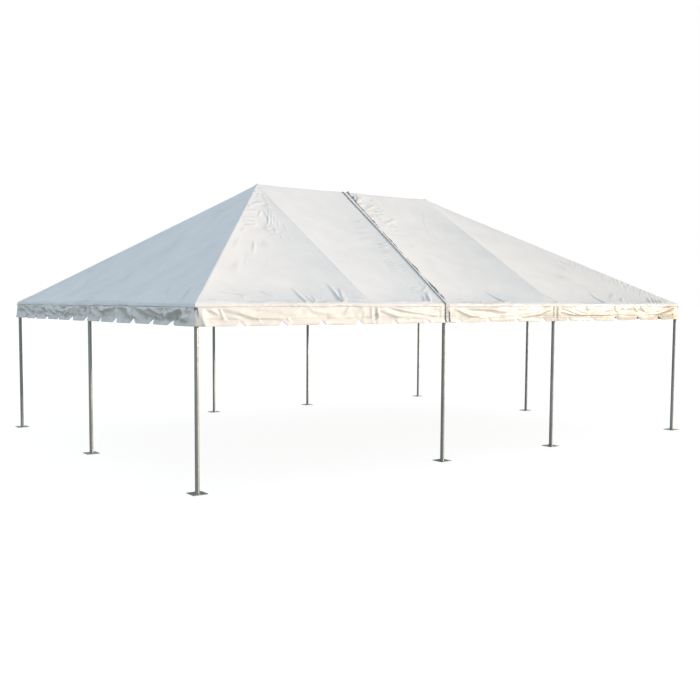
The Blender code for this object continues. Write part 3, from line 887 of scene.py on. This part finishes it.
def half_flap(side):
    """The flap's points and its painted shadow lines on one side, from the hem up to the ridge."""
    across = FLAP_ACROSS
    hang = np.arange(FLAP_BOTTOM_Z, VALANCE_TOP_Z - 0.022, 0.011)
    rise = np.linspace(0.0, SLOPE_LENGTH, 270)
    sense, out, count = RIGHT_WAYS[side][0], out_way(side), len(hang)
    travel = np.concatenate([hang - VALANCE_TOP_Z, rise])[:, None]
    share = np.clip(travel / SLOPE_LENGTH, 0, 1)
    ripple = noise(61 + len(side), travel / 0.11 + 20, across * 2)
    # Its left edge is straight and its right edge is wavy and lifts
    left = -0.010 - 0.085 * share**3
    right = 0.066 - 0.036 * share + 0.007 * noise(65, travel / 0.07 + 20)
    x = MIDDLE_LEG_X * (1 - share) + left + (right - left) * across
    lift = 0.003 + 0.009 * bell(across, 0.09)
    lift = lift + smooth(0.5, 1, across) * (0.003 + 0.016 * np.clip(0.25 + ripple, 0, 1))
    points = np.zeros((*x.shape, 3))
    off = np.maximum(valance_height(side, sense * x[:count], hang[:, None]), OVER_LEG)
    points[:count, :, 1] = out[1] * (HALF_WIDTH + off + lift[:count])
    points[:count, :, 2] = hang[:, None]
    start, top = eave_spot(side, sense * MIDDLE_LEG_X, COVER_OVER_TUBES), ridge_spot(0)
    off = cover_height(side, sense * x[count:], rise[:, None]) + lift[count:]
    way = np.broadcast_to(slope_way(side), (len(rise), 3)).copy()
    way[0] = (way[0] + out) / (1 + way[0] @ out)
    way[-1] = (0, 0, 1 / slope_way(side)[2])
    middle = start + (top - start) * share[count:]
    points[count:] = middle[:, None, :] + way[:, None, :] * off[..., None]
    points[..., 0] = x
    # Painted shadow: a dark line along the left edge, and broken dark patches inside the right edge
    # where it lifts
    painted_shade_and_dirt = 0.85 * bell(across, 0.14)
    edge = bell(across - 0.80, 0.13)
    painted_shade_and_dirt = painted_shade_and_dirt + 0.95 * edge * smooth(-0.55, 0.0, noise(68, travel / 0.09 + 20))
    return points, painted_shade_and_dirt


def seam_flap(name, material):
    """The flap that covers the lacing between the two lengths, from hem to hem over the ridge."""
    (front, front_shade_and_dirt), (back, back_shade_and_dirt) = half_flap("front"), half_flap("back")
    points = np.concatenate([front, back[::-1]])
    painted_shade_and_dirt = np.clip(np.concatenate([front_shade_and_dirt, back_shade_and_dirt[::-1]]), 0, 1)
    length = along_steps(np.linalg.norm(np.diff(points[:, 5], axis=0), axis=1))[:, None]
    width = FLAP_ACROSS * FLAP_WIDTH
    flat, creases = layered(width, length), layered(length, width, 0.6)
    return cloth_object(name, points, flat, creases, painted_shade_and_dirt, material, FLAP_CLOTH)


def hex_colour(text):
    """A linear colour from an sRGB hex code."""
    values = [int(text[place : place + 2], 16) / 255 for place in (1, 3, 5)]
    linear = [v / 12.92 if v <= 0.04045 else ((v + 0.055) / 1.055) ** 2.4 for v in values]
    return (*linear, 1.0)


def set_inputs(tree, node, inputs):
    """Links the sockets among these values to a node's inputs, and sets the others."""
    for name, value in inputs.items():
        if isinstance(value, bpy.types.NodeSocket):
            tree.links.new(value, node.inputs[name])
        else:
            node.inputs[name].default_value = value


def add_node(tree, kind, inputs=None, output=0, **settings):
    """A new node with its settings, and its inputs set or linked. It gives one of its outputs."""
    node = tree.nodes.new(kind)
    for name, value in settings.items():
        setattr(node, name, value)
    set_inputs(tree, node, inputs or {})
    return node.outputs[output]


def maths(tree, operation, *values):
    return add_node(tree, "ShaderNodeMath", dict(enumerate(values)), operation=operation)


def mapped(tree, value, low, high, to_low=0.0, to_high=1.0, **settings):
    inputs = {"Value": value, "From Min": low, "From Max": high}
    inputs |= {"To Min": to_low, "To Max": to_high}
    return add_node(tree, "ShaderNodeMapRange", inputs, **settings)


def blended(tree, factor, low, high):
    """A mix of two colours, each a socket or a hex code."""
    low, high = (hex_colour(tone) if isinstance(tone, str) else tone for tone in (low, high))
    inputs = {"Factor": factor, "A": low, "B": high}
    return add_node(tree, "ShaderNodeMix", inputs, "Result", data_type="RGBA")


def two_tones(tree, factor, low, high, start, end):
    """A colour that goes from one tone to another as a factor rises."""
    colour = add_node(tree, "ShaderNodeValToRGB", {"Fac": factor}, "Color")
    ends = colour.node.color_ramp.elements
    ends[0].position, ends[0].color = start, hex_colour(low)
    ends[1].position, ends[1].color = end, hex_colour(high)
    return colour


def cloudy(tree, place, scale, detail, roughness=0.5):
    inputs = {"Vector": place, "Scale": scale, "Detail": detail, "Roughness": roughness}
    return add_node(tree, "ShaderNodeTexNoise", inputs, "Fac")


def bumped(tree, height, strength, distance, **below):
    inputs = {"Height": height, "Strength": strength, "Distance": distance, **below}
    return add_node(tree, "ShaderNodeBump", inputs)


def own_place(tree):
    return add_node(tree, "ShaderNodeTexCoord", output="Object")


def new_material(name):
    material = bpy.data.materials.new(name)
    material.use_nodes = True
    return material, material.node_tree, material.node_tree.nodes["Principled BSDF"]


def galvanised_steel(name, light, dark, streaks):
    """Hot-dip galvanised steel tube.

    The eye sees a soft grey metal with a faint zinc spangle, duller drips that run along the
    tube and no clear reflection.
    """
    material, tree, shader = new_material(name)
    place = own_place(tree)
    # Spangle: zinc crystals of 12 mm or so
    crystals = {"Vector": place, "Scale": 85.0}
    spangle = add_node(tree, "ShaderNodeTexVoronoi", crystals, "Color")
    # Drips of about 110 mm, drawn out along the tube
    drawn_out = add_node(tree, "ShaderNodeMapping", {"Vector": place, "Scale": streaks})
    drips = cloudy(tree, drawn_out, 9.0, 4.0)
    mixed = maths(tree, "MULTIPLY_ADD", spangle, 0.35, drips)
    look = {
        "Base Color": two_tones(tree, mixed, dark, light, 0.35, 0.95),
        "Roughness": mapped(tree, mixed, 0.3, 1.0, 0.52, 0.36),
        "Normal": bumped(tree, mixed, 0.12, 0.0006),
        "Metallic": 0.85,
    }
    set_inputs(tree, shader, look)
    return material


def coated_vinyl(name, tones, flecks, shade_and_dirt_tones, yellow_share):
    """Polyester scrim laminated between two calendered films of white PVC.

    The eye sees a smooth, faintly glossy white sheet whose scrim just shows, with cloudy dirt
    and a deeper tone of painted shade where it has creased or turns from the lamp. It takes the
    sheet's dark and light tone, its flecks' tone and share, its tone for painted shade and dirt on
    the sunny front and elsewhere, and how far its sunny end has yellowed.
    """
    material, tree, shader = new_material(name)
    cloth = add_node(tree, "ShaderNodeUVMap", uv_map="cloth_metres")
    place = own_place(tree)
    # Cloudy weathering, patches of 0.3 to 0.6 m
    clouds = cloudy(tree, place, 2.4, 5.0, 0.6)
    colour = two_tones(tree, clouds, *tones, 0.25, 0.75)
    # Fine dirt that settled in 20 to 60 mm flecks
    fleck_tone, fleck_share = flecks
    dirt = mapped(tree, cloudy(tree, place, 26.0, 6.0, 0.7), 0.56, 0.80, 0.0, fleck_share)
    colour = blended(tree, dirt, colour, fleck_tone)
    # The end that stands in the sun has yellowed, more and more over 5 m
    length_way = add_node(tree, "ShaderNodeSeparateXYZ", {"Vector": place}, "X")
    sunned = mapped(tree, length_way, -1.2, 4.3, 0.0, yellow_share)
    colour = blended(tree, sunned, colour, "#CABFA8")
    # Painted shade and dirt have one tone on the sunny front and another elsewhere
    off_front = mapped(tree, length_way.node.outputs["Y"], -3.14, -3.05)
    shade_and_dirt_tone = blended(tree, off_front, *shade_and_dirt_tones)
    # The painted shade and dirt darken the colour towards that tone
    painted_shade_and_dirt = add_node(tree, "ShaderNodeAttribute", output="Fac", attribute_name="painted_shade_and_dirt")
    colour = blended(tree, painted_shade_and_dirt, colour, shade_and_dirt_tone)
    # Scrim threads: 1 mm apart on the real cloth, drawn 6 mm apart so that they show
    threads = {"Vector": cloth, "Scale": 1 / 0.006 / (2 * math.pi) * 2, "Distortion": 0.4}
    weft, warp = (
        add_node(tree, "ShaderNodeTexWave", threads, "Fac", bands_direction=way) for way in "XY"
    )
    weave = bumped(tree, maths(tree, "ADD", weft, warp), 0.10, 0.0003)
    # Sharp fold marks 100 mm apart and four times as long, where the cloth is creased
    marks = add_node(tree, "ShaderNodeAttribute", output="Vector", attribute_name="creases")
    drawn_out = add_node(tree, "ShaderNodeMapping", {"Vector": marks, "Scale": (1.0, 0.22, 0.0)})
    wander = cloudy(tree, drawn_out, 10.0, 1.5, 0.45)
    beside_mark = maths(tree, "ABSOLUTE", maths(tree, "SUBTRACT", wander, 0.5))
    mark = mapped(tree, beside_mark, 0.0, 0.060, 1.0, 0.0, interpolation_type="SMOOTHSTEP")
    strength = add_node(tree, "ShaderNodeSeparateXYZ", {"Vector": marks}, "Z")
    look = {
        "Base Color": colour,
        "Normal": bumped(tree, maths(tree, "MULTIPLY", mark, strength), 1.0, 0.0100, Normal=weave),
        "Roughness": mapped(tree, clouds, 0.3, 0.7, 0.44, 0.34),
        "IOR": 1.52,
    }
    set_inputs(tree, shader, look)
    return material


def zinc_bolts(name):
    """Zinc-plated eye bolts: a bright bluish metal with small worn spots."""
    material, tree, shader = new_material(name)
    # Worn spots of about 7 mm
    worn = cloudy(tree, own_place(tree), 140.0, 3.0)
    colour = two_tones(tree, worn, "#8A8F93", "#C9CDD0", 0.35, 0.6)
    set_inputs(tree, shader, {"Base Color": colour, "Metallic": 1.0, "Roughness": 0.3})
    return material


def repeat_on_points(name, places, ways, build_shape, sizes, material):
    """A Geometry Nodes tree that sets one shape on each point, turned along its way."""
    mesh = bpy.data.meshes.new(name + "_points")
    mesh.from_pydata(places, [], [])
    way = mesh.attributes.new("way", "FLOAT_VECTOR", "POINT")
    way.data.foreach_set("vector", np.array(ways, np.float32).ravel())
    holder = add_object(name + "_points", mesh)
    tree = bpy.data.node_groups.new(name, "GeometryNodeTree")

    def add_socket(label, way, kind):
        socket = tree.interface.new_socket(label, in_out=way, socket_type="NodeSocket" + kind)
        return socket.identifier

    add_socket("Geometry", "INPUT", "Geometry")
    sockets = {label: add_socket(label, "INPUT", "Float") for label in sizes}
    add_socket("Geometry", "OUTPUT", "Geometry")
    start = tree.nodes.new("NodeGroupInput").outputs
    shape = build_shape(tree, start)
    way = add_node(
        tree, "GeometryNodeInputNamedAttribute", {"Name": "way"}, data_type="FLOAT_VECTOR"
    )
    turned = add_node(tree, "FunctionNodeAlignRotationToVector", {"Vector": way}, axis="Z")
    inputs = {"Points": start["Geometry"], "Instance": shape, "Rotation": turned}
    placed = add_node(tree, "GeometryNodeInstanceOnPoints", inputs)
    real = add_node(tree, "GeometryNodeRealizeInstances", {"Geometry": placed})
    inputs = {"Geometry": real, "Material": material}
    coated = add_node(tree, "GeometryNodeSetMaterial", inputs)
    set_inputs(tree, tree.nodes.new("NodeGroupOutput"), {"Geometry": coated})
    modifier = holder.modifiers.new(name, "NODES")
    modifier.node_group = tree
    for label, size in sizes.items():
        modifier[sockets[label]] = size
    bpy.context.view_layer.update()
    view = bpy.context.evaluated_depsgraph_get()
    made = bpy.data.meshes.new_from_object(holder.evaluated_get(view))
    bpy.data.objects.remove(holder)
    obj = add_object(name, made)
    made.name = name
    obj.name = name
    return obj


def lifted(tree, shape, height, turn=(0, 0, 0)):
    place = add_node(tree, "ShaderNodeCombineXYZ", {"Z": height})
    inputs = {"Geometry": shape, "Translation": place, "Rotation": turn}
    return add_node(tree, "GeometryNodeTransform", inputs)


def standing_cylinder(tree, sides, radius, height):
    inputs = {"Vertices": sides, "Radius": radius, "Depth": height}
    tube = add_node(tree, "GeometryNodeMeshCylinder", inputs, "Mesh")
    return lifted(tree, tube, maths(tree, "MULTIPLY", height, 0.5))


def wire_ring(tree, radius, wire_radius, segments, wire_sides):
    path, profile = (
        add_node(tree, "GeometryNodeCurvePrimitiveCircle", {"Resolution": count, "Radius": size})
        for count, size in ((segments, radius), (wire_sides, wire_radius))
    )
    return add_node(tree, "GeometryNodeCurveToMesh", {"Curve": path, "Profile Curve": profile})


def eye_bolt_shape(tree, start):
    """A welded nut on the socket, the bolt that locks the tube and its ring to turn it by."""
    nut = standing_cylinder(tree, 6, start["Nut radius"], start["Nut height"])
    shank = standing_cylinder(tree, 10, start["Shank radius"], start["Shank length"])
    ring = wire_ring(tree, start["Ring radius"], start["Wire radius"], 16, 6)
    ring_z = maths(tree, "ADD", start["Shank length"], start["Ring radius"])
    ring = lifted(tree, ring, ring_z, (math.pi / 2, 0, 0))
    joined = tree.nodes.new("GeometryNodeJoinGeometry")
    for part in (nut, shank, ring):
        tree.links.new(part, joined.inputs[0])
    return joined.outputs[0]


def eyelet_shape(tree, start):
    """A pressed ring with a round lip."""
    return wire_ring(tree, start["Ring radius"], start["Lip radius"], 20, 8)


def socket_arms():
    """For every socket: where its eye bolt stands, and the way that it points, into the tent."""
    down = Vector((0, 0, -1))
    crowns = {end: Vector((end * HALF_RIDGE, 0, RIDGE_Z)) for end in (-1, 1)}
    corner_reach, tee_reach, crown_reach = 0.115, 0.085, 0.155
    bolts = []

    def add(node, along, reach, inward):
        along = along.normalized()
        inward = (inward - along * inward.dot(along)).normalized()
        bolts.append((node + along * reach + inward * (SOCKET_RADIUS - 0.001), inward))

    for side in (-1, 1):
        into = Vector((0, -side, 0))
        for end in (-1, 1):
            corner = Vector((end * HALF_LENGTH, side * HALF_WIDTH, EAVE_Z))
            along = Vector((-end, 0, 0))
            to_crown = crowns[end] - corner
            arms = (down, along + into), (along, into), (into, along), (to_crown, down)
            for arm, inward in arms:
                add(corner, arm, corner_reach, inward)
            add(crowns[end], -to_crown, crown_reach, down)
        feet = (LEFT_RAFTER_X, -HALF_RIDGE), (MIDDLE_LEG_X, 0), (RIGHT_LEG_X, HALF_RIDGE)
        for foot, head in feet:
            node = Vector((foot, side * HALF_WIDTH, EAVE_Z))
            top = Vector((head, 0, RIDGE_Z))
            add(node, top - node, tee_reach, down)
            for way in (1, -1):
                add(node, Vector((way, 0, 0)), tee_reach, into)
            if foot != LEFT_RAFTER_X:
                add(node, down, tee_reach, into)
            add(top, node - top, crown_reach if head else tee_reach, down)
    for end in (-1, 1):
        node = Vector((end * HALF_LENGTH, 0, EAVE_Z))
        into = Vector((-end, 0, 0))
        for along in (down, Vector((0, 1, 0)), Vector((0, -1, 0))):
            add(node, along, tee_reach, into)
        add(node, crowns[end] - node, tee_reach, down)
        add(crowns[end], node - crowns[end], crown_reach, down)
        add(crowns[end], into, crown_reach, down)
    return bolts


def make_eye_bolts(material):
    places, ways = zip(*socket_arms())
    sizes = {
        "Nut radius": 0.011,
        "Nut height": 0.009,
        "Shank radius": 0.005,
        "Shank length": 0.024,
        "Ring radius": 0.013,
        "Wire radius": 0.003,
    }
    return repeat_on_points("socket_eye_bolts", places, ways, eye_bolt_shape, sizes, material)


def make_corner_eyelets(material):
    """A pressed eyelet in the valance at each corner, where the corner's hole is."""
    places, ways = [], []
    for side in LONG_SIDES:
        out = OUT_WAYS[side]
        for a in (-HALF_LENGTH, HALF_LENGTH):
            along = a * RIGHT_WAYS[side][0]
            diagonal = Vector((math.copysign(1, along), out[1], 0)).normalized()
            off = float(valance_height(side, np.array([a]), EYELET_Z)[0])
            centre = Vector((along, out[1] * HALF_WIDTH, EYELET_Z))
            places.append(centre + diagonal * (off + 0.001))
            ways.append(diagonal)
    sizes = {"Ring radius": 0.012, "Lip radius": 0.0028}
    return repeat_on_points("corner_eyelets", places, ways, eyelet_shape, sizes, material)


def light_the_studio():
    """A white room that is cooler on the left, and a low warm lamp at the right."""
    world = bpy.data.worlds.new("studio")
    bpy.context.scene.world = world
    world.use_nodes = True
    tree = world.node_tree
    tree.nodes.clear()
    way = add_node(tree, "ShaderNodeTexCoord", output="Generated")
    sunward = {0: way, 1: (0.75, -0.66, 0.0)}
    facing = add_node(tree, "ShaderNodeVectorMath", sunward, "Value", operation="DOT_PRODUCT")
    glow = two_tones(tree, mapped(tree, facing, -1.0, 1.0), "#B3C6D6", "#D1D3D3", 0.1, 0.9)
    lit = add_node(tree, "ShaderNodeBackground", {"Color": glow, "Strength": 1.1})
    seen = add_node(tree, "ShaderNodeBackground", {"Color": (1, 1, 1, 1), "Strength": 1.0})
    to_camera = add_node(tree, "ShaderNodeLightPath", output="Is Camera Ray")
    both = add_node(tree, "ShaderNodeMixShader", {0: to_camera, 1: lit, 2: seen})
    set_inputs(tree, tree.nodes.new("ShaderNodeOutputWorld"), {"Surface": both})
    lamp = bpy.data.lights.new("low_warm_lamp", "SUN")
    lamp.energy = 2.75
    lamp.angle = math.radians(5)
    lamp.color = hex_colour("#FFE7D2")[:3]
    key = add_object("low_warm_lamp", lamp)
    key.rotation_mode = "QUATERNION"
    key.rotation_quaternion = Vector((0.80, -0.585, 0.145)).to_track_quat("Z", "Y")


def lay_the_floor():
    """A pale matt floor that reads almost white, with faint shadows under the tent."""
    mesh = bpy.data.meshes.new("studio_floor")
    reach = 400
    corners = [(-reach, -reach, 0), (reach, -reach, 0), (reach, reach, 0), (-reach, reach, 0)]
    mesh.from_pydata(corners, [], [(0, 1, 2, 3)])
    floor = add_object("studio_floor", mesh)
    material, tree, shader = new_material("matt_white_floor_paint")
    to_camera = add_node(tree, "ShaderNodeLightPath", output="Is Camera Ray")
    look = {
        "Base Color": blended(tree, to_camera, "#B5B3AC", "#7A7A7A"),
        "Roughness": 0.9,
        "Emission Color": (1, 1, 1, 1),
        "Emission Strength": maths(tree, "MULTIPLY", to_camera, 0.86),
    }
    set_inputs(tree, shader, look)
    mesh.materials.append(material)


def set_the_camera():
    """The photograph's viewpoint: 35 degrees round to the left, at 2.1 m, looking slightly down."""
    bpy.context.scene.view_settings.view_transform = "Standard"
    yaw, pitch, roll = math.radians(34.67), math.radians(-4.11), math.radians(0.16)
    forward = Vector(
        (math.sin(yaw) * math.cos(pitch), math.cos(yaw) * math.cos(pitch), math.sin(pitch))
    )
    level = Vector((math.cos(yaw), -math.sin(yaw), 0))
    up = level.cross(forward)
    right = level * math.cos(roll) + up * math.sin(roll)
    top = up * math.cos(roll) - level * math.sin(roll)
    data = bpy.data.cameras.new("camera")
    data.lens = 45.47
    data.sensor_width = 36
    data.shift_x = 0.0643
    data.shift_y = 0.022
    data.clip_end = 1000
    camera = add_object("camera", data)
    turn = Matrix((right, top, -forward)).transposed().to_4x4()
    camera.matrix_world = Matrix.Translation((-8.953, -11.742, 2.116)) @ turn
    bpy.context.scene.camera = camera


def coat_the_frame():
    """New finishes on the steel nodes, which keep their shapes."""
    legs = galvanised_steel("galvanised_leg_tube", "#B9BFBB", "#8B918E", (1, 1, 0.12))
    tubes = galvanised_steel("galvanised_frame_tube", "#B4BBBA", "#868E8D", (0.5, 0.5, 0.5))
    castings = galvanised_steel("galvanised_socket", "#A5ABA9", "#767D7B", (1, 1, 1))
    coats = [
        (legs, ("leg_",)),
        (castings, ("fitting", "clamp", "crown", "ridge_tee")),
        (tubes, ("rail", "tube", "rafter")),
    ]
    for name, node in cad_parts.items():
        fitting_coats = [coat for coat, words in coats if any(word in name for word in words)]
        for place in node.material_slots if fitting_coats else ():
            place.material = fitting_coats[0]


def main():
    set_the_camera()
    light_the_studio()
    lay_the_floor()
    coat_the_frame()
    roof_vinyl = coated_vinyl(
        "white_pvc_coated_polyester",
        tones=("#E8E9EA", "#F4F4F3"),
        flecks=("#C9CCCA", 0.10),
        # Grey tones for the roof's painted shade
        shade_and_dirt_tones=("#8C8F90", "#7F8486"),
        yellow_share=0.15,
    )
    valance_vinyl = coated_vinyl(
        "aged_white_pvc_valance",
        tones=("#EBE9E4", "#F3F2EE"),
        flecks=("#C4C2B8", 0.10),
        # Warm painted shade on the sunny front, grey-green painted shade and dirt elsewhere
        shade_and_dirt_tones=("#A08A72", "#757D79"),
        yellow_share=0.85,
    )
    flap_vinyl = coated_vinyl(
        "white_pvc_seam_flap",
        tones=("#E4E5E5", "#F0F0EF"),
        flecks=("#B4B7B6", 0.25),
        # A dark tone for the flap's painted shadow lines
        shade_and_dirt_tones=("#353C42", "#353C42"),
        yellow_share=0.0,
    )
    bolts = zinc_bolts("zinc_plated_bolts")

    # Each length goes round its bays: the side, the bay on it and the steps across it
    left_bays = [("back", 2, 36), ("back", 3, 32), ("left", 0, 44), ("left", 1, 44)]
    left_bays += [("front", 0, 130), ("front", 1, 76)]
    right_bays = [("front", 2, 116), ("front", 3, 130), ("right", 0, 30), ("right", 1, 30)]
    right_bays += [("back", 0, 32), ("back", 1, 44)]
    left_runs = [
        ("back", -MIDDLE_LEG_X + SEAM_GAP, HALF_LENGTH),
        ("left", -HALF_WIDTH, HALF_WIDTH),
        ("front", -HALF_LENGTH, MIDDLE_LEG_X - SEAM_GAP),
    ]
    right_runs = [
        ("front", MIDDLE_LEG_X + SEAM_GAP, HALF_LENGTH),
        ("right", -HALF_WIDTH, HALF_WIDTH),
        ("back", -HALF_LENGTH, -MIDDLE_LEG_X - SEAM_GAP),
    ]
    roof_left = cover_length("roof_cover_left", left_bays, roof_vinyl)
    roof_right = cover_length("roof_cover_right", right_bays, roof_vinyl)
    valance_left = valance_length("valance_strip_left", left_runs, valance_vinyl)
    valance_right = valance_length("valance_strip_right", right_runs, valance_vinyl)
    flap = seam_flap("seam_flap", flap_vinyl)
    eye_bolts = make_eye_bolts(bolts)
    eyelets = make_corner_eyelets(bolts)

    for piece in (roof_left, roof_right, valance_left, valance_right, flap, eye_bolts, eyelets):
        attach(piece, "root")
    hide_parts("roof_front_left", "roof_back_left", "roof_end_left")
    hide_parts("roof_front_right", "roof_back_right", "roof_end_right")
    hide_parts("valance_front_left", "valance_back_left", "valance_end_left")
    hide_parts("valance_front_right", "valance_back_right", "valance_end_right")


main()
